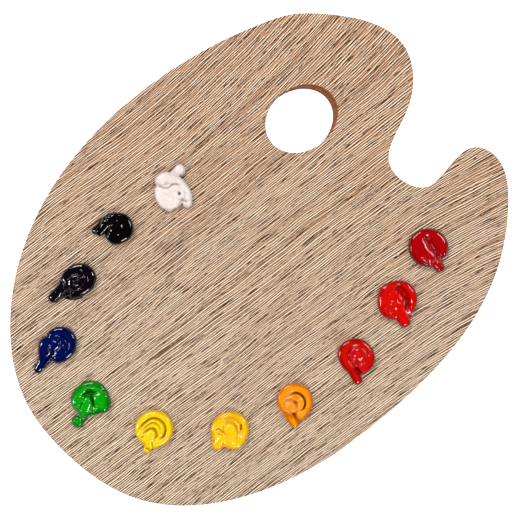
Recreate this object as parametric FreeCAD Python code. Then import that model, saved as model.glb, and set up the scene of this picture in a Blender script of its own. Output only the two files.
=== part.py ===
import FreeCAD, Part
import math
import os

from FreeCAD import Vector

# An artist's mixing palette: a kidney-shaped plywood board with a thumb hole and a finger notch,
# and eleven squeezed-out dabs of paint along its rim.
#
# Millimetres. The board lies flat with its paint side up (+Z). The origin is on the underside, at
# the centre of the outline's box, and +X runs along the board towards the thumb hole and notch.

# Plies, from the underside up. The grain of the veneers and the core runs along X, and that of the
# two crossbands along Y.
PLIES = [
    ("back_veneer", 0.8),
    ("lower_crossband", 1.1),
    ("core_ply", 1.2),
    ("upper_crossband", 1.1),
    ("face_veneer", 0.8),
]
BOARD_THICKNESS = sum(thickness for _, thickness in PLIES)
EASED_EDGE = 0.3                    # radius of the sanded arrises of the two outer faces

# The outline is one smooth closed curve through these points, counter-clockwise from above.
OUTLINE = [
    (106, 95.5), (18.5, 115.5), (-78.5, 99), (-123.5, 66.5), (-147, 26.5), (-149.5, -11),
    (-136.5, -57), (-52, -110), (-7, -115.5), (90.5, -103),         # long sides and heel
    (134.5, -72), (147, -44.5), (142.5, -35.5),                     # small lobe below the notch
    (105, -33), (98, -12), (128.5, 7.5),                            # finger notch
    (150, 36.5), (129, 78),                                         # large lobe by the thumb hole
]

# The thumb hole is a round bore that leans along the board, so that the thumb lies flat in it.
THUMB_BORE_RADIUS = 18.0
THUMB_BORE_LEAN = 35.0              # from upright, top towards the end of the board
THUMB_BORE_TURN = -5.0              # of the lean, about Z from +X
THUMB_CENTRE = (78.5, 43.0)         # of the hole's outline on the paint side

# A dab is a coil of paint as it leaves the tube: the coil's centre and radius, and the tip and
# radius of the tail that is drawn out as the tube is lifted away.
DABS = {
    "titanium_white_dab": ((-5.5, 60.5), 11, (9.5, 67), 3),
    "ivory_black_dab": ((-42, 66.5), 9.5, (-54, 73), 3.5),
    "dark_violet_dab": ((-78, 58), 10, (-98.5, 61), 3),
    "ultramarine_dab": ((-111, 38), 10.5, (-130.5, 34), 2.2),
    "emerald_green_dab": ((-118.5, 2), 10.5, (-135.5, -2), 3.2),
    "lemon_yellow_dab": ((-102, -34), 11, (-115, -41.5), 2.5),
    "golden_yellow_dab": ((-70, -63.5), 10.5, (-84.5, -65.5), 3.5),
    "orange_dab": ((-31.5, -75.5), 10.5, (-41, -86), 2.2),
    "vermilion_dab": ((11.5, -79.5), 10.5, (2.5, -92.5), 3),
    "scarlet_dab": ((50, -70), 11.5, (45, -86), 3.5),
    "crimson_dab": ((83.5, -59.5), 10.5, (81, -75.5), 2.7),
}
BEAD_SHARE = 0.31                   # the coil bead's radius as a share of the coil's


def outline_face():
    """The board's outline as a flat face at Z = 0, with its box centred on the origin.

    The curve is one edge per span, because a volume is only integrated exactly span by span.
    """
    curve = Part.BSplineCurve()
    curve.interpolate(Points=[Vector(x, y, 0) for x, y in OUTLINE], PeriodicFlag=True)
    knots = curve.getKnots()
    spans = [curve.toShape(start, end) for start, end in zip(knots, knots[1:])]
    face = Part.Face(Part.Wire(spans))
    box = face.optimalBoundingBox(False, False)
    face.translate(Vector(-box.Center.x, -box.Center.y, 0))
    return face


def thumb_bore():
    """The leaning cylinder that the thumb hole is bored along."""
    lean = math.radians(THUMB_BORE_LEAN)
    turn = math.radians(THUMB_BORE_TURN)
    axis = Vector(math.sin(lean) * math.cos(turn), math.sin(lean) * math.sin(turn), math.cos(lean))
    middle = Vector(*THUMB_CENTRE, BOARD_THICKNESS)
    reach = 2 * THUMB_BORE_RADIUS + BOARD_THICKNESS
    return Part.makeCylinder(THUMB_BORE_RADIUS, 2 * reach, middle - axis * reach, axis)


def eased(solid, height):
    """The solid with the arrises of its flat face at this height rounded over."""
    on_face = [edge for edge in solid.Edges
               if abs(edge.BoundBox.ZMin - height) < 1e-6 and abs(edge.BoundBox.ZMax - height) < 1e-6]
    return solid.makeFillet(EASED_EDGE, on_face)


def plies():
    """Each ply of the board, by name."""
    face = outline_face()
    bore = thumb_bore()
    solids = {}
    bottom = 0.0
    for name, thickness in PLIES:
        sheet = face.translated(Vector(0, 0, bottom)).extrude(Vector(0, 0, thickness))
        solids[name] = sheet.cut(bore).Solids[0]
        bottom += thickness
    solids["back_veneer"] = eased(solids["back_veneer"], 0.0)
    solids["face_veneer"] = eased(solids["face_veneer"], BOARD_THICKNESS)
    return solids


def coil_body(radius):
    """A two-turn coil about Z, standing on Z = 0: a wide bead with a smaller one on top."""
    bead = BEAD_SHARE * radius
    shoulder = 0.62 * radius        # the groove between the two turns
    crown = 0.32 * radius           # middle of the upper turn
    foot = Vector(radius - 0.3 * bead, 0, 0)
    bulge = Vector(radius, 0, 0.75 * bead)
    groove = Vector(shoulder, 0, 1.5 * bead)
    top = Vector(crown, 0, 2.45 * bead)
    dimple = Vector(0, 0, 2.1 * bead)
    over_bead = Vector(radius - 0.6 * bead, 0, 1.6 * bead)
    over_crown = Vector(0.9 * shoulder, 0, 2.1 * bead)
    edges = [
        Part.makeLine(Vector(0, 0, 0), foot),
        Part.makeLine(foot, bulge),
        Part.Arc(bulge, over_bead, groove).toShape(),
        Part.Arc(groove, over_crown, top).toShape(),
        Part.makeLine(top, dimple),
        Part.makeLine(dimple, Vector(0, 0, 0)),
    ]
    profile = Part.Face(Part.Wire(edges))
    return profile.revolve(Vector(0, 0, 0), Vector(0, 0, 1), 360)


def tail(start_radius, tip_radius, length):
    """A bead along +X from the origin, tapered and rounded at its tip, cut flat at Z = 0."""
    sunk = 0.6                      # the height of its middle as a share of its radius
    tip = Vector(length - tip_radius, 0, sunk * tip_radius)
    start = Vector(0, 0, sunk * start_radius)
    shaft = Part.makeCone(start_radius, tip_radius, (tip - start).Length, start, tip - start)
    bead = shaft.fuse(Part.makeSphere(tip_radius, tip))
    above = Part.makeBox(4 * length, 4 * length, 2 * length, Vector(-2 * length, -2 * length, 0))
    return bead.common(above)


def dab(centre, radius, tip, tip_radius):
    """A coil with its tail, sitting on the paint side of the board."""
    reach = Vector(tip[0] - centre[0], tip[1] - centre[1], 0)
    drawn = tail(1.05 * BEAD_SHARE * radius, tip_radius, reach.Length)
    drawn.rotate(Vector(0, 0, 0), Vector(0, 0, 1), math.degrees(math.atan2(reach.y, reach.x)))
    solid = coil_body(radius).fuse(drawn).removeSplitter().Solids[0]
    solid.translate(Vector(*centre, BOARD_THICKNESS))
    return solid


def main():
    os.makedirs("parts", exist_ok=True)
    solids = plies()
    for name, sizes in DABS.items():
        solids[name] = dab(*sizes)
    for name, solid in solids.items():
        solid.exportStep(f"parts/{name}.step")
        box = solid.optimalBoundingBox(False, False)
        print(f"{name:20} valid {solid.isValid()} {solid.Volume:10.1f} mm3, "
              f"box {box.XLength:.1f} x {box.YLength:.1f} x {box.ZLength:.1f} mm")


main()
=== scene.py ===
import math

import bmesh
import bpy
import numpy as np
from mathutils.kdtree import KDTree
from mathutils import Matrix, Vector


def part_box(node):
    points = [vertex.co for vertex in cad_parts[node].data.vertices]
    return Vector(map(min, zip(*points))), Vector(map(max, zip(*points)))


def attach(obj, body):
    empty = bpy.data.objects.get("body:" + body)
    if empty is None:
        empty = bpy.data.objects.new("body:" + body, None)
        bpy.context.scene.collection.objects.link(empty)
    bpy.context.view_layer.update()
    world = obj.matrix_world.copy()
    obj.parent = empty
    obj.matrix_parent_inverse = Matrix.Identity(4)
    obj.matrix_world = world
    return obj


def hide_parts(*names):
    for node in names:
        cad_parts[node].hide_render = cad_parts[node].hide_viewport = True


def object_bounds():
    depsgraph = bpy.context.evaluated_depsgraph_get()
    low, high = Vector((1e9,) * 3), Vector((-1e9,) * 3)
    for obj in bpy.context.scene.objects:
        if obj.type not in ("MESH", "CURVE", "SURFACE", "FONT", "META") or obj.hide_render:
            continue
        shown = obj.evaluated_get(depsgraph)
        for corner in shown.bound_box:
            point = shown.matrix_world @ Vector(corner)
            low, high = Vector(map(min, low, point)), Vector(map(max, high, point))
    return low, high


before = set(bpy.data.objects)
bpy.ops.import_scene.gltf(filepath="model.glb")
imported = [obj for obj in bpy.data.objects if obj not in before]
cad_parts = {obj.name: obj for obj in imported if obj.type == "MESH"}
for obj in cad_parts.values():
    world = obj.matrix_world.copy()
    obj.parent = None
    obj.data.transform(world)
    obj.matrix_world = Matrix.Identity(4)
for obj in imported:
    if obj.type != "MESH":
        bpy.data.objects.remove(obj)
cad_low, cad_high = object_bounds()

MM = 0.001
SHADE = "shade"                     # the name of the paint meshes' own attribute

# ---------------------------------------------------------------------------------------------
# Framing. The camera looks straight down at the paint side. It is rolled, so that the board's
# long axis rises to the right.
# ---------------------------------------------------------------------------------------------
VIEW_WIDTH = 0.2973                 # across the image, measured on the board's face
VIEW_ROLL = math.radians(41.5)
VIEW_SHIFT = (0.0069, -0.0018)      # of the image's middle from the board's, on X and Y
CAMERA_HEIGHT = 0.60                # above the board's face
SENSOR = 36.0

BOARD = "face_veneer"
FACE_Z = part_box(BOARD)[1].z


# ---------------------------------------------------------------------------------------------
# Shader nodes
# ---------------------------------------------------------------------------------------------
class Graph:
    """One material's node tree, with a short call for each kind of node that it uses."""

    def __init__(self, name):
        self.material = bpy.data.materials.new(name)
        self.material.use_nodes = True
        self.tree = self.material.node_tree
        self.tree.nodes.clear()
        output = self.tree.nodes.new("ShaderNodeOutputMaterial")
        self.shader = self.tree.nodes.new("ShaderNodeBsdfPrincipled")
        self.tree.links.new(self.shader.outputs[0], output.inputs[0])

    def node(self, kind, inputs=(), **settings):
        """A node of this kind. Each input is a socket to link or a constant."""
        made = self.tree.nodes.new(kind)
        for key, value in settings.items():
            setattr(made, key, value)
        for key, value in dict(inputs).items():
            self.put(made.inputs[key], value)
        return made

    def put(self, socket, value):
        if isinstance(value, bpy.types.NodeSocket):
            self.tree.links.new(value, socket)
        else:
            socket.default_value = value

    def math(self, operation, *values, clamp=False):
        inputs = dict(enumerate(values))
        return self.node("ShaderNodeMath", inputs, operation=operation, use_clamp=clamp).outputs[0]

    def add(self, a, b):
        return self.math("ADD", a, b)

    def mul(self, a, b):
        return self.math("MULTIPLY", a, b)

    def vector(self, x, y, z):
        return self.node("ShaderNodeCombineXYZ", {0: x, 1: y, 2: z}).outputs[0]

    def noise(self, vector, scale=1.0, detail=2.0, roughness=0.5, distortion=0.0):
        inputs = {"Vector": vector, "Scale": scale, "Detail": detail, "Roughness": roughness,
                  "Distortion": distortion}
        return self.node("ShaderNodeTexNoise", inputs).outputs["Fac"]

    def span(self, value, low, high, to_low=0.0, to_high=1.0):
        """value from low..high mapped smoothly and clamped to to_low..to_high."""
        inputs = {0: value, 1: low, 2: high, 3: to_low, 4: to_high}
        return self.node("ShaderNodeMapRange", inputs, interpolation_type="SMOOTHSTEP").outputs[0]

    def mix(self, factor, a, b, blend="MIX"):
        made = self.node("ShaderNodeMix", {0: factor}, data_type="RGBA", blend_type=blend)
        self.put(made.inputs[6], a)
        self.put(made.inputs[7], b)
        return made.outputs[2]

    def bump(self, height, distance, strength=1.0):
        inputs = {"Height": height, "Distance": distance, "Strength": strength}
        return self.node("ShaderNodeBump", inputs).outputs["Normal"]

    def millimetres(self):
        """The point in the part's own frame, as x, y and z in millimetres."""
        place = self.node("ShaderNodeTexCoord").outputs["Object"]
        scaled = self.node("ShaderNodeVectorMath", {0: place, 1: (1 / MM,) * 3}, operation="MULTIPLY")
        split = self.node("ShaderNodeSeparateXYZ", {0: scaled.outputs[0]})
        return split.outputs[0], split.outputs[1], split.outputs[2]

    def upness(self, kind="True Normal"):
        """How flat a face lies: 1 on the two faces of the board, 0 on an upright edge."""
        normal = self.node("ShaderNodeNewGeometry").outputs[kind]
        z = self.node("ShaderNodeSeparateXYZ", {0: normal}).outputs[2]
        return self.math("ABSOLUTE", z)


def rgb(red, green, blue):
    """An sRGB colour, 0 to 255, as the linear values that a shader socket takes."""
    def linear(value):
        value /= 255
        return value / 12.92 if value <= 0.04045 else ((value + 0.055) / 1.055) ** 2.4
    return (linear(red), linear(green), linear(blue), 1.0)


# ---------------------------------------------------------------------------------------------
# Wood. Lengths are in millimetres.
# ---------------------------------------------------------------------------------------------
GRAIN_SLOPE = 0.07                  # of the grain's lines against the board's long axis
GRAIN_SWEEP = -8.7e-6               # fans the lines out towards the notch end
GRAIN_WAVE = (110, 50)              # length and width of the lines' slow waves
GRAIN_SWAY = 5.0                    # reach of those waves
THROUGH_PLY = 0.7                   # how fast the grain's lines shift with depth
SPECK = (0.8, 0.42)                 # length and width of the finest specks

# Smaller waves of the pore lines, the widest first: length, width, seed offset and reach.
LINE_WAVES = [
    (90, 16, 0, 1.6),
    (24, 11, 5, 1.7),
    (9, 4, 0, 0.3),
]
LINE_PLACE = 0.3                    # of a pore line in its row, as a share of the spacing
LINE_JITTER = 0.36                  # the most that is added to it, at random
NEXT_LINE = 3.713                   # from one line to the next in the noise along them

# Two sets of pore lines, one fine and close, one bolder. A line starts to show where the noise
# along it is at faint, and is whole at strong.
PORES = [
    # spacing, width, run, shallow colour, deep colour, faint, strong
    (1.1, 0.43, 7, rgb(96, 50, 12), rgb(52, 18, 0), 0.28, 0.56),
    (1.6, 0.44, 10, rgb(56, 20, 0), rgb(28, 5, 0), 0.42, 0.58),
]
DEEP_PORE = (0.5, 0.7)              # where in that noise the colour goes from shallow to deep


def grain_axes(g, across_board):
    """Along the grain, across it and through the ply, with the drift of the long grain."""
    x, y, z = g.millimetres()
    if across_board:
        return y, x, z
    slope = g.mul(x, GRAIN_SLOPE)
    past_middle = g.math("MAXIMUM", x, 0.0)
    sweep = g.mul(g.mul(g.mul(past_middle, past_middle), y), GRAIN_SWEEP)
    length, width = GRAIN_WAVE
    waves = g.noise(g.vector(g.mul(x, 1 / length), g.mul(y, 1 / width), 0.0), detail=1.0)
    return x, g.add(g.add(y, slope), g.add(sweep, g.mul(waves, GRAIN_SWAY))), z


def streak(g, axes, length, width, seed, detail=1.0):
    """Noise drawn out along the grain, in streaks about this long and wide."""
    along, across, depth = axes
    layer = g.add(g.mul(depth, THROUGH_PLY), seed)
    place = g.vector(g.mul(along, 1 / length), g.mul(across, 1 / width), layer)
    return g.noise(place, detail=detail)


def comb(g, axes, spacing, width, run, seed):
    """Thin lines along the grain, about this far apart and wide.

    The first value is 1 along a line's middle, the second is 1 just beside the line, and the
    third is noise that changes along each line about once a run, differently on each line.
    """
    along, across, depth = axes
    place = g.add(across, g.mul(depth, THROUGH_PLY))
    shift = None
    for length, breadth, offset, reach in LINE_WAVES:
        spot = g.vector(g.mul(along, 1 / length), g.mul(across, 1 / breadth), seed + offset)
        wave = g.mul(g.noise(spot, detail=0.0), reach)
        shift = wave if shift is None else g.add(shift, wave)
    row = g.mul(g.add(place, shift), 1 / spacing)
    number = g.math("FLOOR", row)
    chance = g.node("ShaderNodeTexWhiteNoise", {"W": g.add(number, seed)}, noise_dimensions="1D")
    line = g.add(g.mul(chance.outputs["Value"], LINE_JITTER), LINE_PLACE)
    off = g.math("SUBTRACT", g.math("FRACT", row), line)
    # A line is dark to 0.35 of its width each way and gone by 0.7. The cream is on one side.
    share = width / spacing
    middle = g.span(g.math("ABSOLUTE", off), share * 0.35, share * 0.7, 1.0, 0.0)
    off_side = g.math("ABSOLUTE", g.add(off, -share * 1.15))
    beside = g.span(off_side, share * 0.3, share * 0.7, 1.0, 0.0)
    spot = g.vector(g.mul(along, 1 / run), g.mul(number, NEXT_LINE), seed)
    change = g.noise(spot, detail=3.0, roughness=0.7)
    return middle, beside, change


def wood(name, across_board=False, dark=0.0):
    """Open-pored straight-grained veneer: dark pore lines with cream beside them, on pink-beige.

    Cut edges show the redder, darker end grain, and a dark ply's are darker still.
    """
    g = Graph(name)
    axes = grain_axes(g, across_board)
    along, across, _ = axes
    x, y, _ = g.millimetres()
    bands = streak(g, axes, length=120, width=5, seed=3.1, detail=2.0)
    fuzz = streak(g, axes, length=2.2, width=0.6, seed=51.3)
    speck_place = g.vector(g.mul(along, 1 / SPECK[0]), g.mul(across, 1 / SPECK[1]), 0.0)
    speck = g.noise(speck_place, detail=1.0)

    # The ground: pinker and darker round the thumb hole, paler towards the heel, in soft bands.
    # That change along the board is partly the wood's own tone and partly painted light falloff.
    pink = rgb(201, 161, 132)
    beige = rgb(219, 201, 177)
    tone_and_falloff_to_heel = g.add(g.mul(x, -0.66), g.mul(y, -0.75))
    uneven = g.span(bands, 0.3, 0.7, -22.0, 22.0)
    ground = g.mix(g.span(g.add(tone_and_falloff_to_heel, uneven), -100.0, 100.0), pink, beige)
    darker = g.mix(1.0, ground, rgb(236, 232, 228), "MULTIPLY")
    ground = g.mix(g.span(bands, 0.3, 0.7), darker, ground)
    colour = g.mix(g.span(fuzz, 0.3, 0.7, 0.0, 0.35), ground, rgb(158, 116, 80))
    colour = g.mix(g.span(speck, 0.35, 0.65, 0.0, 0.5), colour, rgb(144, 102, 66))

    # The pore lines go on top, after the cream beside all of them.
    cream = rgb(252, 233, 208)
    lines = []
    for k, (spacing, width, run, shallow, deep, faint, strong) in enumerate(PORES):
        middle, beside, change = comb(g, axes, spacing, width, run, 17.7 * (k + 1))
        strength = g.span(change, faint, strong)
        colour = g.mix(g.mul(g.mul(beside, strength), 0.85), colour, cream)
        lines.append((g.mul(middle, strength), g.mix(g.span(change, *DEEP_PORE), shallow, deep)))
    for mask, tint in lines:
        colour = g.mix(mask, colour, tint)

    edge_streaks = streak(g, axes, length=8, width=0.35, seed=45.0, detail=2.0)
    edge = g.mix(g.span(edge_streaks, 0.4, 0.62), rgb(154, 98, 62), rgb(106, 62, 38))
    if dark:
        edge = g.mix(dark, edge, rgb(104, 64, 42))
    colour = g.mix(g.span(g.upness(), 0.75, 0.97), edge, colour)

    g.put(g.shader.inputs["Base Color"], colour)
    g.put(g.shader.inputs["Roughness"], g.span(fuzz, 0.3, 0.7, 0.52, 0.68))
    g.put(g.shader.inputs["Specular IOR Level"], 0.03)
    pores = g.math("MAXIMUM", lines[0][0], lines[1][0])
    relief = g.add(g.mul(pores, -1.0), g.mul(fuzz, 0.8))
    g.put(g.shader.inputs["Normal"], g.bump(relief, 0.06 * MM))
    return g.material


def dress_board():
    """Gives each ply its wood. The CAD meshes stay as they are."""
    looks = {
        "face_veneer": wood("face_veneer_wood"),
        "back_veneer": wood("back_veneer_wood"),
        "core_ply": wood("core_wood", dark=0.25),
        "upper_crossband": wood("upper_crossband_wood", across_board=True, dark=0.6),
        "lower_crossband": wood("lower_crossband_wood", across_board=True, dark=0.6),
    }
    for node, material in looks.items():
        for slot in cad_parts[node].material_slots:
            slot.material = material


# ---------------------------------------------------------------------------------------------
# Paint
# ---------------------------------------------------------------------------------------------
def paint(name, colour, streaks, deep, pit, roughness, lumps):
    """Thick wet paint: one pigment with faint streaks of a darker tone, under a glossy skin.

    It is darkened with painted shade where light hardly reaches: in hollows, at the foot, down
    steep sides and most in pits. lumps is the height of the skin's soft ripple, in millimetres.
    """
    g = Graph(name)
    place = g.vector(*g.millimetres())
    swirl = g.noise(place, scale=0.35, detail=3.0, roughness=0.6, distortion=1.2)
    base = g.mix(g.span(swirl, 0.35, 0.7), colour, streaks)
    shade = g.node("ShaderNodeAttribute", attribute_name=SHADE).outputs["Fac"]
    # Painted shade down steep sides, on top of the painted shade in hollows and at the foot.
    steep = g.span(g.upness("Normal"), 0.4, 0.9, 0.7, 0.0)
    base = g.mix(g.math("MAXIMUM", shade, steep, clamp=True), base, deep)
    # Painted shade, darker still, in pits.
    base = g.mix(g.span(shade, 0.9, 2.1), base, pit)
    g.put(g.shader.inputs["Base Color"], base)
    g.put(g.shader.inputs["Roughness"], g.span(swirl, 0.3, 0.7, roughness, roughness + 0.04))
    ripple = g.noise(place, scale=0.4, detail=2.0, roughness=0.5, distortion=0.6)
    g.put(g.shader.inputs["Normal"], g.bump(ripple, lumps * MM, 1.0))
    g.put(g.shader.inputs["Specular IOR Level"], 0.5)
    return g.material


# ---------------------------------------------------------------------------------------------
# Dabs. Each is squeezed out as beads of paint. A bead is (points, radii, heights): the points that
# its middle passes through, on X and Y from the coil's middle, its radius at each end, and the
# height of its middle above the board at each end. A crease is (points, half width, depth).
# Lengths are in millimetres.
# ---------------------------------------------------------------------------------------------
CURVE_POINTS = 24                   # worked out between each two given points of a path
STEP = 0.35                         # between rings of a bead, in millimetres
AROUND = 24                         # points round a ring
CAP_RINGS = 7                       # that round off each end of a bead
FULLNESS = 2.5                      # of a bead's section: 2 is an ellipse, more is a flatter top
SLUMP = 0.78                        # height left once the soft paint has settled
VOXEL = 0.26 * MM                   # of the remesh that makes one skin of the beads
CREASE_END = 0.2                    # about the share of its length over which a crease fades out
CREASE_TIP = 0.15                   # share of its depth that is left at its very end
CREASE_LIMIT = 0.75                 # of the paint's height, the most that a crease takes away
HOLLOW_STEPS = 30                   # mesh edges, how far a point looks around it
HOLLOW_DEPTH = 0.7                  # in millimetres, below what is around, for the full shade
RIM_SHADE = 0.85                    # at the very foot


def smooth_path(points):
    """Evenly spaced points on a Catmull-Rom curve through the given ones, and the run to each."""
    p = np.array(points, float)
    if len(p) == 1:
        p = np.vstack([p, p + (0.01, 0.0)])
    padded = np.vstack([2 * p[0] - p[1], p, 2 * p[-1] - p[-2]])
    t = np.linspace(0, 1, CURVE_POINTS, endpoint=False)[:, None]
    spans = []
    for a, b, c, d in zip(padded, padded[1:], padded[2:], padded[3:]):
        spans.append(0.5 * (2 * b + (c - a) * t + (2 * a - 5 * b + 4 * c - d) * t ** 2
                            + (3 * b - a - 3 * c + d) * t ** 3))
    curve = np.vstack(spans + [p[-1:]])
    run = np.concatenate([[0], np.cumsum(np.linalg.norm(np.diff(curve, axis=0), axis=1))])
    even = np.linspace(0, run[-1], max(2, int(run[-1] / STEP) + 1))
    return np.column_stack([np.interp(even, run, curve[:, k]) for k in range(2)]), even


def bead_mesh(points, radii, heights):
    """The vertices and faces of one closed bead, with round ends, in millimetres."""
    path, run = smooth_path(points)
    share = run / max(run[-1], 1e-6)
    radius = radii[0] + (radii[1] - radii[0]) * share
    height = heights[0] + (heights[1] - heights[0]) * share
    tangent = np.gradient(path, axis=0)
    tangent /= np.linalg.norm(tangent, axis=1)[:, None]
    # Round caps: extra rings past both ends, which shrink along a quarter circle.
    cap = np.sin(np.linspace(0, math.pi / 2, CAP_RINGS + 1))[1:]
    before = [(path[0] - tangent[0] * radius[0] * s, tangent[0],
               radius[0] * math.sqrt(1 - s * s), height[0]) for s in cap[::-1]]
    along = list(zip(path, tangent, radius, height))
    after = [(path[-1] + tangent[-1] * radius[-1] * s, tangent[-1],
              radius[-1] * math.sqrt(1 - s * s), height[-1]) for s in cap]
    angle = np.linspace(0, 2 * math.pi, AROUND, endpoint=False)
    across = np.sign(np.cos(angle)) * np.abs(np.cos(angle)) ** (2 / FULLNESS)
    up = np.sign(np.sin(angle)) * np.abs(np.sin(angle)) ** (2 / FULLNESS)
    rings = []
    for middle, ahead, r, h in before + along + after:
        r = max(r, 1e-3)
        side = np.array((-ahead[1], ahead[0]))
        out = np.outer(across * r, side) + middle
        rings.append(np.column_stack([out, SLUMP * (h + up * r)]))
    count = len(rings)
    faces = []
    for i in range(count - 1):
        for j in range(AROUND):
            k = (j + 1) % AROUND
            faces.append((i * AROUND + j, i * AROUND + k,
                          (i + 1) * AROUND + k, (i + 1) * AROUND + j))
    faces.append(tuple(range(AROUND))[::-1])
    faces.append(tuple((count - 1) * AROUND + j for j in range(AROUND)))
    return np.vstack(rings), faces


def apply_modifiers(piece):
    """The piece with its modifiers made part of its mesh."""
    depsgraph = bpy.context.evaluated_depsgraph_get()
    mesh = bpy.data.meshes.new_from_object(piece.evaluated_get(depsgraph))
    old = piece.data
    piece.modifiers.clear()
    piece.data = mesh
    bpy.data.meshes.remove(old)


def cut_at_board(piece):
    """Cuts the piece flat where it meets the board's face, and closes it there."""
    bm = bmesh.new()
    bm.from_mesh(piece.data)
    whole = bm.verts[:] + bm.edges[:] + bm.faces[:]
    bmesh.ops.bisect_plane(bm, geom=whole, plane_co=(0, 0, FACE_Z), plane_no=(0, 0, 1),
                           clear_inner=True)
    rim = [edge for edge in bm.edges if edge.is_boundary]
    bmesh.ops.holes_fill(bm, edges=rim)
    bm.to_mesh(piece.data)
    bm.free()


def carve(piece, origin, creases):
    """Presses creases into the top of the piece. A crease is (points, half width, depth).

    A crease fades out towards its ends, but one with a single point is a round pit.
    """
    mesh = piece.data
    place = np.empty(3 * len(mesh.vertices))
    mesh.vertices.foreach_get("co", place)
    place = place.reshape(-1, 3)
    normal = np.empty(3 * len(mesh.vertices))
    mesh.vertices.foreach_get("normal", normal)
    upward = np.clip(normal.reshape(-1, 3)[:, 2], 0, 1)
    flat = (place - origin)[:, :2] / MM
    height = (place - origin)[:, 2] / MM
    press = np.zeros(len(flat))
    for points, half_width, depth in creases:
        path, run = smooth_path(points)
        gap = np.linalg.norm(flat[:, None, :] - path[None, :, :], axis=2)
        nearest = gap.argmin(axis=1)
        share = run[nearest] / max(run[-1], 1e-6)
        taper = np.clip(np.minimum(share, 1 - share) / CREASE_END + CREASE_TIP, 0, 1)
        if len(points) == 1:
            taper = 1.0
        profile = np.exp(-(gap.min(axis=1) / half_width) ** 2)
        press = np.maximum(press, depth * taper * profile)
    press = np.minimum(press, CREASE_LIMIT * np.maximum(height, 0))
    place[:, 2] -= press * upward * MM
    mesh.vertices.foreach_set("co", place.ravel())
    mesh.update()


def mark_shade(piece, rim_width):
    """Stores how little light reaches the paint: 0 in the open, 1 in a hollow, more in a pit.

    A hollow lies below the average of what is around it. The foot is shaded too, in a band of
    this width in millimetres.
    """
    mesh = piece.data
    count = len(mesh.vertices)
    place = np.empty(3 * count)
    mesh.vertices.foreach_get("co", place)
    place = (place.reshape(-1, 3) - (0, 0, FACE_Z)) / MM
    height = place[:, 2]
    ends = np.empty(2 * len(mesh.edges), dtype=np.int32)
    mesh.edges.foreach_get("vertices", ends)
    one, other = ends.reshape(-1, 2).T
    links = np.bincount(one, minlength=count) + np.bincount(other, minlength=count)
    around = height.copy()
    for _ in range(HOLLOW_STEPS):
        total = np.bincount(one, around[other], count) + np.bincount(other, around[one], count)
        around = total / links
    hollow = np.maximum((around - height) / HOLLOW_DEPTH, 0)

    foot = place[np.abs(height) < VOXEL / MM, :2]
    tree = KDTree(len(foot))
    for k, (x, y) in enumerate(foot):
        tree.insert((x, y, 0), k)
    tree.balance()
    inside = np.array([tree.find((x, y, 0))[2] for x, y, _ in place])
    rim = RIM_SHADE * np.clip(1 - inside / rim_width, 0, 1)
    shade = np.maximum(hollow, rim)
    mesh.attributes.new(SHADE, "FLOAT", "POINT").data.foreach_set("value", shade)


def make_dab(node, coil, soften_steps, rim_width, beads, creases, material):
    """One dab of paint, in place of the CAD node of this name."""
    low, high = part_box(node)
    origin = np.array(((low.x + high.x) / 2 + coil[0] * MM,
                       (low.y + high.y) / 2 + coil[1] * MM, FACE_Z))
    vertices = []
    faces = []
    for bead in beads:
        points, rings = bead_mesh(*bead)
        start = sum(len(v) for v in vertices)
        vertices.append(points * MM + origin)
        faces += [tuple(start + i for i in face) for face in rings]
    name = node.replace("_dab", "_paint")
    mesh = bpy.data.meshes.new(name)
    mesh.from_pydata(np.vstack(vertices).tolist(), [], faces)
    piece = bpy.data.objects.new(name, mesh)
    bpy.context.scene.collection.objects.link(piece)
    remesh = piece.modifiers.new("one_skin", "REMESH")
    remesh.mode = "VOXEL"
    remesh.voxel_size = VOXEL
    remesh.use_smooth_shade = True
    soften = piece.modifiers.new("soften", "SMOOTH")
    soften.factor = 0.5
    soften.iterations = soften_steps
    apply_modifiers(piece)
    carve(piece, origin, creases)
    mark_shade(piece, rim_width)
    cut_at_board(piece)
    piece.data.materials.clear()
    piece.data.materials.append(material)
    for polygon in piece.data.polygons:
        polygon.use_smooth = True
    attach(piece, "root")
    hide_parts(node)
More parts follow.
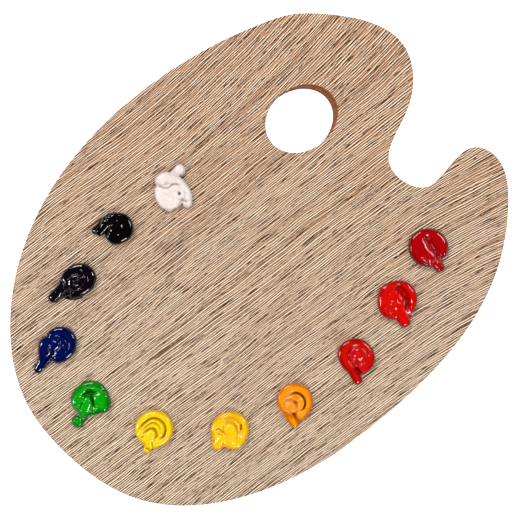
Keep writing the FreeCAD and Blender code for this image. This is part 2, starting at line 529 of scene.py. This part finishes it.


# coil: the coil's middle on X and Y from the middle of the CAD node's box.
# slot: the record's material slot.
# paint: the pigment, its streaks, the tone of its painted shade and of the darker painted shade
# in pits, then roughness and lumps.
# soften: how many times the mesh is smoothed. rim: width of the shaded foot.
# beads and creases: as above. The beads are joined into one skin, in any order.
DABS = {
    "titanium_white_dab": {
        "coil": (-1.6, 0.5),
        "slot": "white_paint",
        "paint": (rgb(227, 215, 209), rgb(217, 204, 198), rgb(202, 187, 182), rgb(84, 52, 44),
                  0.32, 0.16),
        "soften": 6,
        "rim": 0.9,
        "beads": [
            ([(2.4, -11.1), (5.4, -7.0), (6.3, -1.5), (5.4, 3.8), (2.6, 7.6), (-0.4, 8.2)],
             (2.8, 3.7), (1.9, 2.8)),
            ([(-4.2, 3.6), (-6.2, 0.4), (-6.2, -3.6), (-3.0, -5.6)], (4.2, 3.9), (2.2, 1.9)),
            ([(-6.4, -5.6), (-1.6, -6.3)], (3.2, 3.2), (1.6, 1.6)),
            ([(-0.6, 0.4), (-0.4, -3.4)], (5.0, 4.8), (0.8, 0.8)),
            ([(-1.6, 0.2), (1.2, 0.7), (3.6, -0.8), (4.4, -4.0), (3.2, -6.4), (1.2, -5.8),
              (1.0, -3.8)], (1.6, 1.4), (4.8, 4.6)),
            ([(6.8, 6.6), (9, 6.4), (11.7, 6.0)], (1.9, 3.2), (2.2, 1.9)),
        ],
        "creases": [
            ([(-3.8, 8.6), (-2.2, 4.8), (0.0, 2.5), (3.0, 2.3), (5.2, 0.6), (6.0, -2.2)],
             0.45, 1.5),
            ([(2.6, -4.1)], 0.8, 3.6),
            ([(1.4, -6.6), (2.0, -8.6), (2.9, -11.0)], 0.45, 1.5),
            ([(-0.6, -8.0), (-0.8, -10.8)], 0.5, 0.8),
            ([(5.2, 7.6), (7.4, 5.4), (8.6, 3.4)], 0.5, 0.9),
            ([(5.6, -4.0), (5.0, -7.2)], 0.4, 0.6),
        ],
    },
    "ivory_black_dab": {
        "coil": (0.4, 0),
        "slot": "black_paint",
        "paint": (rgb(5, 3, 3), rgb(4, 3, 3), rgb(1, 0, 0), rgb(0, 0, 0), 0.05, 0.09),
        "soften": 22,
        "rim": 1.7,
        "beads": [
            ([(-4.2, -1.6), (-3.8, -4.6), (-0.6, -6.2), (3.2, -6.4), (6.2, -3.6), (6.8, 0.4),
              (4.8, 3.2)], (3.5, 3.5), (2.0, 2.4)),
            ([(3.0, 4.4), (0, 5.8), (-4, 6.1), (-7.2, 6.2), (-9.4, 6.5)], (4.0, 2.2), (2.7, 1.3)),
            ([(0.6, -1.0), (0.2, -0.4)], (5.6, 5.6), (1.3, 1.3)),
            ([(-7.6, 4.4), (-4.6, 4.6), (-1.8, 5.4)], (2.8, 2.8), (2.3, 3.6)),
            ([(1.3, 5.8), (1.7, 3.4), (2.2, 0.4)], (2.2, 2.4), (4.9, 4.3)),
        ],
        "creases": [
            ([(-7.4, 0.8), (-4.4, 1.5), (-1.8, 2.0)], 0.6, 1.8),
        ],
    },
    "dark_violet_dab": {
        "coil": (3.3, 0),
        "slot": "violet_paint",
        "paint": (rgb(13, 3, 12), rgb(9, 2, 10), rgb(3, 0, 1), rgb(0, 0, 0), 0.05, 0.10),
        "soften": 18,
        "rim": 2.0,
        "beads": [
            ([(-5, -3.4), (-1, -5.2), (4, -5.3), (8.1, -2.6), (8.0, 2.2), (4.4, 5.5), (-1, 5.6),
              (-5, 3.4)], (3.5, 3.7), (1.8, 2.4)),
            ([(1.4, 0.2), (1.0, 0)], (6.2, 6.2), (-0.6, -0.6)),
            ([(5.0, 3.0), (5.8, -0.6), (2.8, -2.8), (-1.4, -2.6), (-3.0, 0.2), (-0.4, 2.6),
              (2.2, 1.6)], (1.5, 1.9), (4.2, 5.4)),
            ([(-3, 2.8), (-9, 2.6), (-13, 2.3), (-15.6, 2.2)], (3.6, 3.1), (3.0, 1.6)),
            ([(-9.4, -2.2), (-7.4, -4.8), (-3.6, -7.4)], (1.8, 1.5), (0.3, 0.4)),
        ],
        "creases": [
            ([(-5.0, 6.4), (-6.2, 2.8), (-6.6, -1.2), (-4.4, -3.6)], 0.8, 0.6),
            ([(-11.4, 0.2), (-8.6, -0.6), (-6.6, -1.6)], 0.8, 0.6),
            ([(7.0, 4.4), (7.2, 0), (4.2, -4.0), (-1.4, -4.6)], 0.5, 1.0),
        ],
    },
    "ultramarine_dab": {
        "coil": (3.5, 0),
        "slot": "ultramarine_paint",
        "paint": (rgb(2, 13, 84), rgb(1, 8, 64), rgb(0, 0, 30), rgb(0, 0, 8), 0.05, 0.06),
        "soften": 22,
        "rim": 2.0,
        "beads": [
            ([(-4.4, -5.2), (-0.4, -6.6), (4, -6.0), (7.9, -2.4), (8.1, 2.0), (5.4, 5.2),
              (2.2, 6.0)], (3.2, 3.7), (2, 2.4)),
            ([(-0.8, 4.6), (-4.2, 5.4), (-7, 3.6), (-9.6, 0.9), (-12.4, -0.9), (-15.5, -1.9),
              (-17.4, -2.6)], (4.2, 2.3), (2.4, 1.1)),
            ([(0.6, 0), (1.0, -0.6)], (6.2, 6.2), (-0.8, -0.8)),
            ([(4.0, 2.2), (4.6, -1.4), (2.2, -4.0), (-2.0, -4.0)], (1.6, 1.8), (3.9, 3.7)),
            ([(-2.6, 0.8), (0.4, 1.0)], (2.9, 3.0), (4.0, 4.2)),
            ([(-3, -1.0), (-7.4, -1.6), (-13.6, -2.4)], (2.3, 2.4), (3.6, 1.8)),
        ],
        "creases": [
            ([(0.4, 9.8), (0.5, 8.2)], 0.8, 0.8),
            ([(3.4, 4.4), (5.9, 3.0), (6.6, -1.0), (4.2, -4.4), (0.6, -5.6)], 0.45, 1.0),
        ],
    },
    "emerald_green_dab": {
        "coil": (3.3, 0),
        "slot": "green_paint",
        "paint": (rgb(4, 164, 10), rgb(2, 142, 8), rgb(0, 72, 0), rgb(0, 24, 0), 0.06, 0.10),
        "soften": 10,
        "rim": 3.2,
        "beads": [
            ([(7.4, -2), (7.5, 3), (4.8, 6.6), (0.2, 8.0), (-4.2, 7.2), (-7.2, 4.4), (-7.4, 1)],
             (3.2, 3.2), (-0.4, 0.0)),
            ([(6.0, -3.4), (5.0, -5.8), (2.8, -7.2)], (4.2, 3.7), (2.2, 2.2)),
            ([(0, -0.6), (0.4, -0.6)], (6.4, 6.4), (-2.0, -2.0)),
            ([(3.8, -3.4), (4.8, -1.8)], (4.0, 4.0), (2.8, 2.8)),
            ([(-8.2, 4.4), (-6.6, 6.2), (-3.0, 7.2), (1.6, 6.6), (5.6, 4.2), (8.4, 0.8)],
             (1.1, 1.1), (4.0, 4.2)),
            ([(-6.2, 3.6), (-3.2, 4.6)], (3.0, 2.4), (2.9, 3.2)),
            ([(-1.6, 0.8), (-2.6, 0.2), (-5.4, -1.4), (-6.8, -2)], (3.3, 3.6), (3.6, 2.0)),
            ([(-6, -2.6), (-3, -4.6), (0.6, -6.4)], (2.8, 3.0), (1.9, 2.2)),
            ([(-8.4, -3.4), (-11.0, -4.0)], (2.6, 2.4), (0.3, 0.2)),
            ([(-13.3, -4), (-13.6, -4)], (3.5, 3.5), (1.5, 1.5)),
        ],
        "creases": [
            ([(4.6, 3.2), (3.2, 4.4), (1.4, 5.2)], 1.2, 2.6),
            ([(3.6, 3.4), (2.0, 1.4), (0.9, -1.2), (-0.6, -3.8)], 0.6, 2.0),
            ([(-9.8, 0.0), (-6.4, 1.2), (-3.4, 2.9), (-0.6, 4.2)], 0.4, 0.6),
            ([(-9.2, -2.0), (-6.0, -4.4), (-2.4, -5.2), (0.4, -4.8)], 0.5, 0.6),
        ],
    },
    "lemon_yellow_dab": {
        "coil": (1.2, 0),
        "slot": "lemon_paint",
        "paint": (rgb(236, 205, 2), rgb(228, 192, 1), rgb(196, 152, 0), rgb(120, 84, 0), 0.18, 0.14),
        "soften": 7,
        "rim": 1.2,
        "beads": [
            ([(-7.4, 0.6), (-6.4, 4.4), (-3.2, 7.0), (1, 7.3), (5, 5.5), (7.4, 1.4), (7.0, -3),
              (4, -6.4), (0, -7.5), (-4, -6.6), (-7.4, -5.0)], (3.6, 3.2), (2.2, 1.9)),
            ([(-0.6, 0), (0, 0)], (7.0, 7.0), (-1.6, -1.6)),
            ([(-5.4, 3.8), (-2, 4.7), (1.8, 4.0), (4.4, 0.6), (3.6, -3), (0.4, -5.0)],
             (1.7, 1.7), (4.0, 3.8)),
            ([(-4.8, 2.2), (-1.8, 2.8), (1.2, 1.6), (2.0, -1.0), (0.4, -3.6)],
             (1.6, 1.6), (4.9, 4.6)),
            ([(-3.6, -1.4), (-3, -0.8)], (2.9, 2.9), (4.4, 4.4)),
            ([(-7.4, -1.6), (-5, -2.6)], (3.4, 3.2), (2.6, 3.0)),
            ([(-8, -4.6), (-11.0, -6.0)], (3.0, 2.4), (1.7, 1.3)),
        ],
        "creases": [
            ([(-8.4, 4.6), (-5.0, 6.0), (-1, 6.4), (3.4, 5.3), (6.1, 1.4), (5.4, -3.6),
              (1.2, -6.6), (-3.6, -5.6)], 0.6, 1.9),
            ([(-5.2, 4.0), (-1.2, 4.2), (2.4, 2.9), (3.3, -0.6), (1.8, -4.0)], 0.4, 1.1),
            ([(-7.4, 2.4), (-4.4, 2.3), (-1.0, 1.7), (0.3, -0.4), (-0.6, -3.2), (-3.4, -4.4)],
             0.5, 1.6),
            ([(-9.0, 1.4), (-6.6, 1.2)], 0.4, 1.0),
            ([(-8.0, -8.4), (-6.4, -5.8), (-5.4, -4.4)], 0.5, 1.0),
            ([(-11.4, -4.8), (-10.0, -6.0), (-10.4, -7.8)], 0.45, 1.3),
        ],
    },
    "golden_yellow_dab": {
        "coil": (1, 0),
        "slot": "yellow_paint",
        "paint": (rgb(236, 193, 2), rgb(230, 178, 1), rgb(204, 140, 0), rgb(120, 70, 0), 0.18, 0.12),
        "soften": 14,
        "rim": 1.6,
        "beads": [
            ([(-5.0, 5.8), (-2, 7.4), (2.4, 7.5), (6.4, 5.2), (8.7, 1.0), (7.4, -3.4),
              (3.4, -6.6), (-1.4, -7.8)], (3.4, 3.5), (2.0, 2.3)),
            ([(-4.8, 3.4), (-5.6, 0.4), (-4.8, -3), (-2.6, -6.4)], (3.4, 3.7), (2.4, 2.2)),
            ([(-8.0, 2.4), (-6.0, 4.2)], (2.6, 3.0), (1.8, 2.0)),
            ([(1, -0.6), (0, -1.4)], (6.8, 6.6), (-1.2, -1.2)),
            ([(1.4, 1.4), (0.4, -1.4), (-2.2, -4.2)], (4.0, 3.8), (3.6, 2.8)),
            ([(-6, -0.6), (-9.9, -1.0)], (3.8, 3.5), (2.8, 2.0)),
            ([(2.6, 8.2), (6.8, 6.2), (9.4, 2.2), (9.0, -2.2), (6.2, -5.6)],
             (1.2, 1.2), (4.0, 3.7)),
        ],
        "creases": [
            ([(0.4, 6.6), (3.8, 6.0), (6.6, 3.6), (7.0, 0.2), (5.6, -3.6), (2.4, -6.6)], 1.5, 2.0),
            ([(8.0, -0.9), (6.7, -2.4), (5.2, -3.9)], 0.5, 4.0),
            ([(-5.6, 5.8), (-3.3, 5.6), (-2.9, 3.6), (-2.6, 1.2)], 0.4, 1.1),
            ([(-5.6, 4.6), (-4.8, 2.8), (-3.6, 1.2)], 0.4, 0.9),
            ([(-6.0, -1.6), (-8.4, -4.0), (-9.4, -5.6)], 0.5, 0.9),
        ],
    },
    "orange_dab": {
        "coil": (0, -0.2),
        "slot": "orange_paint",
        "paint": (rgb(236, 148, 6), rgb(229, 132, 3), rgb(184, 86, 0), rgb(78, 30, 0), 0.08, 0.12),
        "soften": 6,
        "rim": 1.4,
        "beads": [
            ([(-6.6, 1), (-6, 4.4), (-3.4, 7.2), (0.2, 8.2), (4, 6.9), (7.1, 3), (7.1, -1),
              (4.8, -4.8), (1.2, -6.8), (-2.8, -7.4)], (3.2, 3.0), (2.2, 2.1)),
            ([(-0.8, -0.2), (-0.4, 0)], (6.6, 6.6), (-2.2, -2.2)),
            ([(-3.4, 3.6), (-0.4, 3.4), (2.2, 1.4), (2.4, -2.0), (-0.2, -4.2)],
             (2.1, 2.3), (4.2, 3.6)),
            ([(-3.8, 1.0), (-3.2, -1.6)], (2.9, 3.0), (4.2, 3.6)),
            ([(-7.2, 1.0), (-8.1, -3), (-8.8, -9.0)], (2.6, 2.4), (2.6, 1.6)),
            ([(-5.4, -6.0), (-5.9, -8.6)], (1.8, 1.8), (0.6, 0.4)),
        ],
        "creases": [
            ([(1.2, 5.2), (3.6, 4.2), (5.2, 1.0), (4.6, -2.6), (1.8, -5.2), (-1.6, -5.6)],
             0.45, 2.4),
            ([(-5.8, 4.2), (-3.0, 4.3), (-0.6, 2.4), (-0.4, -1.0), (-1.8, -3.4)], 0.5, 0.9),
            ([(0.8, 3.6), (2.2, 2.0), (2.6, 0.4)], 0.4, 0.9),
            ([(-4.8, -3.2), (-5.3, -5.4), (-5.9, -7.8), (-6.3, -10.4)], 0.6, 5.5),
        ],
    },
    "vermilion_dab": {
        "coil": (0, 1),
        "slot": "vermilion_paint",
        "paint": (rgb(198, 11, 3), rgb(182, 6, 2), rgb(114, 0, 0), rgb(50, 0, 0), 0.06, 0.12),
        "soften": 9,
        "rim": 1.8,
        "beads": [
            ([(-2.4, -6.7), (1, -7.0), (5, -4.9), (6.8, 0), (5.6, 4.8), (2, 7.8), (-1.6, 8.2),
              (-5, 6.2), (-6.6, 2), (-6.6, -2)], (3.4, 3.3), (1.9, 2.4)),
            ([(0.4, 0.2), (0.8, 0.4)], (6.4, 6.4), (-1.4, -1.4)),
            ([(-2.6, 0.6), (-0.8, 3.6), (3.0, 3.8), (4.6, 0.4), (3.0, -3.0), (-0.4, -3.4)],
             (1.9, 1.9), (4.0, 4.4)),
            ([(0.8, 0.4), (1.2, 0.6)], (2.8, 2.8), (3.4, 3.4)),
            ([(-6.6, -2), (-7.3, -6), (-8.2, -9.8)], (3.0, 2.9), (2.6, 1.8)),
        ],
        "creases": [
            ([(-3.9, -9.0), (-3.8, -5.4), (-4.3, -2.4), (-4.0, 1.6), (-1.8, 5.2), (2.6, 6.0),
              (6.0, 2.8), (5.6, -2.6), (1.0, -5.2)], 0.6, 0.6),
            ([(-1.8, -0.6), (-1.1, 1.8), (1.0, 3.2), (3.2, 2.2), (3.6, 0.0)], 0.5, 0.4),
            ([(-4.4, -3.2), (-3.9, -5.6), (-4.0, -9.0)], 0.55, 1.8),
        ],
    },
    "scarlet_dab": {
        "coil": (0, 0.8),
        "slot": "scarlet_paint",
        "paint": (rgb(206, 8, 4), rgb(190, 4, 2), rgb(122, 0, 0), rgb(50, 0, 0), 0.06, 0.12),
        "soften": 12,
        "rim": 1.8,
        "beads": [
            ([(1.6, -6.8), (5.6, -4.8), (8.2, -0.6), (7.6, 3.8), (4.2, 7), (-0.4, 8.8),
              (-4.4, 6.6), (-7.4, 3), (-7.9, -0.6), (-6, -4)], (3.8, 3.8), (1.9, 2.4)),
            ([(-0.8, -0.4), (-0.4, 0)], (7.4, 7.4), (-2.0, -2.0)),
            ([(-6.2, 1.6), (-4.2, 4.4), (-0.6, 4.6), (1.8, 2.0), (1.8, -1.4), (-0.6, -3.6),
              (-4.0, -3.2)], (2.4, 2.6), (3.8, 4.0)),
            ([(-2.6, 0.4), (-2.0, 0.6)], (4.6, 4.6), (2.9, 2.9)),
            ([(-3.4, -5.0), (-4.2, -8), (-4.6, -11.2)], (4.0, 3.5), (2.8, 1.8)),
            ([(-1.0, -7.2), (-1.6, -9.8)], (3.0, 2.8), (1.2, 0.8)),
            ([(6.6, -4.6), (9.2, -0.8)], (2.2, 2.2), (3.0, 3.2)),
        ],
        "creases": [
            ([(3.0, 7.4), (5.2, 5.4), (6.2, 2.4), (5.0, -1.8), (2.4, -5.4), (1.0, -8.6)], 1.8, 3.0),
            ([(-4.8, -1.0), (-4.6, 1.4), (-2.4, 3.0), (0, 1.8), (0.2, -0.8), (-1.8, -2.2)],
             0.5, 0.3),
            ([(-9.2, -4.6), (-7.4, -3.8), (-7.0, -0.8), (-8.4, 2.0)], 0.5, 0.6),
        ],
    },
    "crimson_dab": {
        "coil": (-0.5, 1.8),
        "slot": "crimson_paint",
        "paint": (rgb(170, 1, 7), rgb(150, 0, 5), rgb(82, 0, 2), rgb(40, 0, 0), 0.05, 0.10),
        "soften": 14,
        "rim": 1.8,
        "beads": [
            ([(4.4, -6.2), (7.4, -3.0), (7.7, 1.7), (5.5, 5.7), (1, 8.1), (-3.6, 7.2),
              (-6.6, 3.5), (-6.8, -1.5), (-4.6, -5.4)], (3.8, 3.7), (2.0, 2.4)),
            ([(0.4, 0), (0.6, -1)], (7.2, 7.0), (-2.0, -2.0)),
            ([(1.2, 4.4), (-1.6, 3.8), (-2.8, 0.4), (-2.6, -4.2)], (3.2, 3.9), (3.2, 3.2)),
            ([(5.6, 1.6), (5.6, -3.0)], (3.4, 3.8), (2.4, 2.2)),
            ([(-2.4, -6), (-2.2, -9), (-2.0, -12.4)], (3.6, 2.8), (1.4, 1.2)),
            ([(-2.4, -9.6), (-2.4, -11.2)], (2.6, 2.2), (2.4, 2.0)),
            ([(1.2, -7.2), (0.4, -9.0)], (2.8, 2.4), (0.6, 0.4)),
        ],
        "creases": [
            ([(1.8, 7.0), (3.2, 3.2), (3.4, -1.4), (2.8, -5.6), (1.6, -9.6)], 1.9, 1.7),
            ([(-6.8, -8.4), (-5.8, -5.6), (-5.8, -2.6), (-6.6, -0.6)], 0.5, 0.5),
        ],
    },
}


# ---------------------------------------------------------------------------------------------
# Stage, lights and camera
# ---------------------------------------------------------------------------------------------
FLOOR_HALF = 8.0                    # from the board to each wall
WALL_HEIGHT = 1.6
LAMP_DISTANCE = 1.3                 # from the board to each lamp
LAMPS = [
    # name, azimuth from +X and elevation in degrees, (length, width), power
    ("key", 76, 46, (0.60, 0.15), 9.6),
    ("left", 144, 43, (0.28, 0.15), 6.2),
    ("right", -14, 46, (0.40, 0.13), 6.0),
    ("front", -112, 44, (0.34, 0.14), 8.0),
]
DUSK_TOP = 0.6                      # sine of the elevation from which the world is darkest
DUSK = (0.08, 0.03)                 # the world's brightness at the horizon, and from there up


def floor():
    """A pale floor with low walls far out, so that low views see no dark sky behind the board."""
    mesh = bpy.data.meshes.new("floor")
    corners = [(-FLOOR_HALF, -FLOOR_HALF), (FLOOR_HALF, -FLOOR_HALF),
               (FLOOR_HALF, FLOOR_HALF), (-FLOOR_HALF, FLOOR_HALF)]
    points = [(x, y, cad_low[2] + rise) for rise in (0.0, WALL_HEIGHT) for x, y in corners]
    walls = [((k + 1) % 4, k, k + 4, (k + 1) % 4 + 4) for k in range(4)]
    mesh.from_pydata(points, [], [(0, 1, 2, 3)] + walls)
    plane = bpy.data.objects.new("floor", mesh)
    bpy.context.scene.collection.objects.link(plane)
    g = Graph("floor_paper")
    g.put(g.shader.inputs["Base Color"], (0.9, 0.9, 0.9, 1.0))
    g.put(g.shader.inputs["Roughness"], 0.9)
    g.put(g.shader.inputs["Specular IOR Level"], 0.1)
    g.put(g.shader.inputs["Emission Color"], (1.0, 1.0, 1.0, 1.0))
    g.put(g.shader.inputs["Emission Strength"], 0.75)
    mesh.materials.append(g.material)


def strip_light(name, azimuth, elevation, size, power):
    """A soft light, as long and wide as size says, that faces the middle of the board."""
    light = bpy.data.lights.new(name, "AREA")
    light.shape = "RECTANGLE"
    light.size, light.size_y = size
    light.energy = power
    lamp = bpy.data.objects.new(name, light)
    a = math.radians(azimuth)
    e = math.radians(elevation)
    level = LAMP_DISTANCE * math.cos(e)
    lamp.location = (level * math.cos(a), level * math.sin(a), LAMP_DISTANCE * math.sin(e))
    lamp.rotation_euler = (math.pi / 2 - e, 0, a + math.pi / 2)
    bpy.context.scene.collection.objects.link(lamp)


def surroundings():
    """A dim world, a little brighter towards the horizon, for the wet paint to reflect."""
    world = bpy.data.worlds.new("studio")
    world.use_nodes = True
    nodes = world.node_tree.nodes
    links = world.node_tree.links
    background = nodes["Background"]
    background.inputs["Color"].default_value = (1, 1, 1, 1)
    direction = nodes.new("ShaderNodeTexCoord").outputs["Generated"]
    split = nodes.new("ShaderNodeSeparateXYZ")
    fade = nodes.new("ShaderNodeMapRange")
    links.new(direction, split.inputs[0])
    links.new(split.outputs[2], fade.inputs[0])
    for k, value in enumerate((0.0, DUSK_TOP, *DUSK), start=1):
        fade.inputs[k].default_value = value
    links.new(fade.outputs[0], background.inputs["Strength"])
    bpy.context.scene.world = world


def camera():
    """Looks straight down at the board's face."""
    data = bpy.data.cameras.new("camera")
    data.sensor_width = SENSOR
    data.lens = SENSOR * CAMERA_HEIGHT / VIEW_WIDTH
    eye = bpy.data.objects.new("camera", data)
    middle = [(cad_low[k] + cad_high[k]) / 2 + VIEW_SHIFT[k] for k in range(2)]
    eye.location = (*middle, FACE_Z + CAMERA_HEIGHT)
    eye.rotation_euler = (0, 0, -VIEW_ROLL)
    bpy.context.scene.collection.objects.link(eye)
    bpy.context.scene.camera = eye


camera()
dress_board()
for node, dab in DABS.items():
    material = paint(node.replace("_dab", "_paint_look"), *dab["paint"])
    make_dab(node, dab["coil"], dab["soften"], dab["rim"], dab["beads"], dab["creases"], material)
floor()
for lamp in LAMPS:
    strip_light(*lamp)
surroundings()
bpy.context.scene.view_settings.view_transform = "Standard"
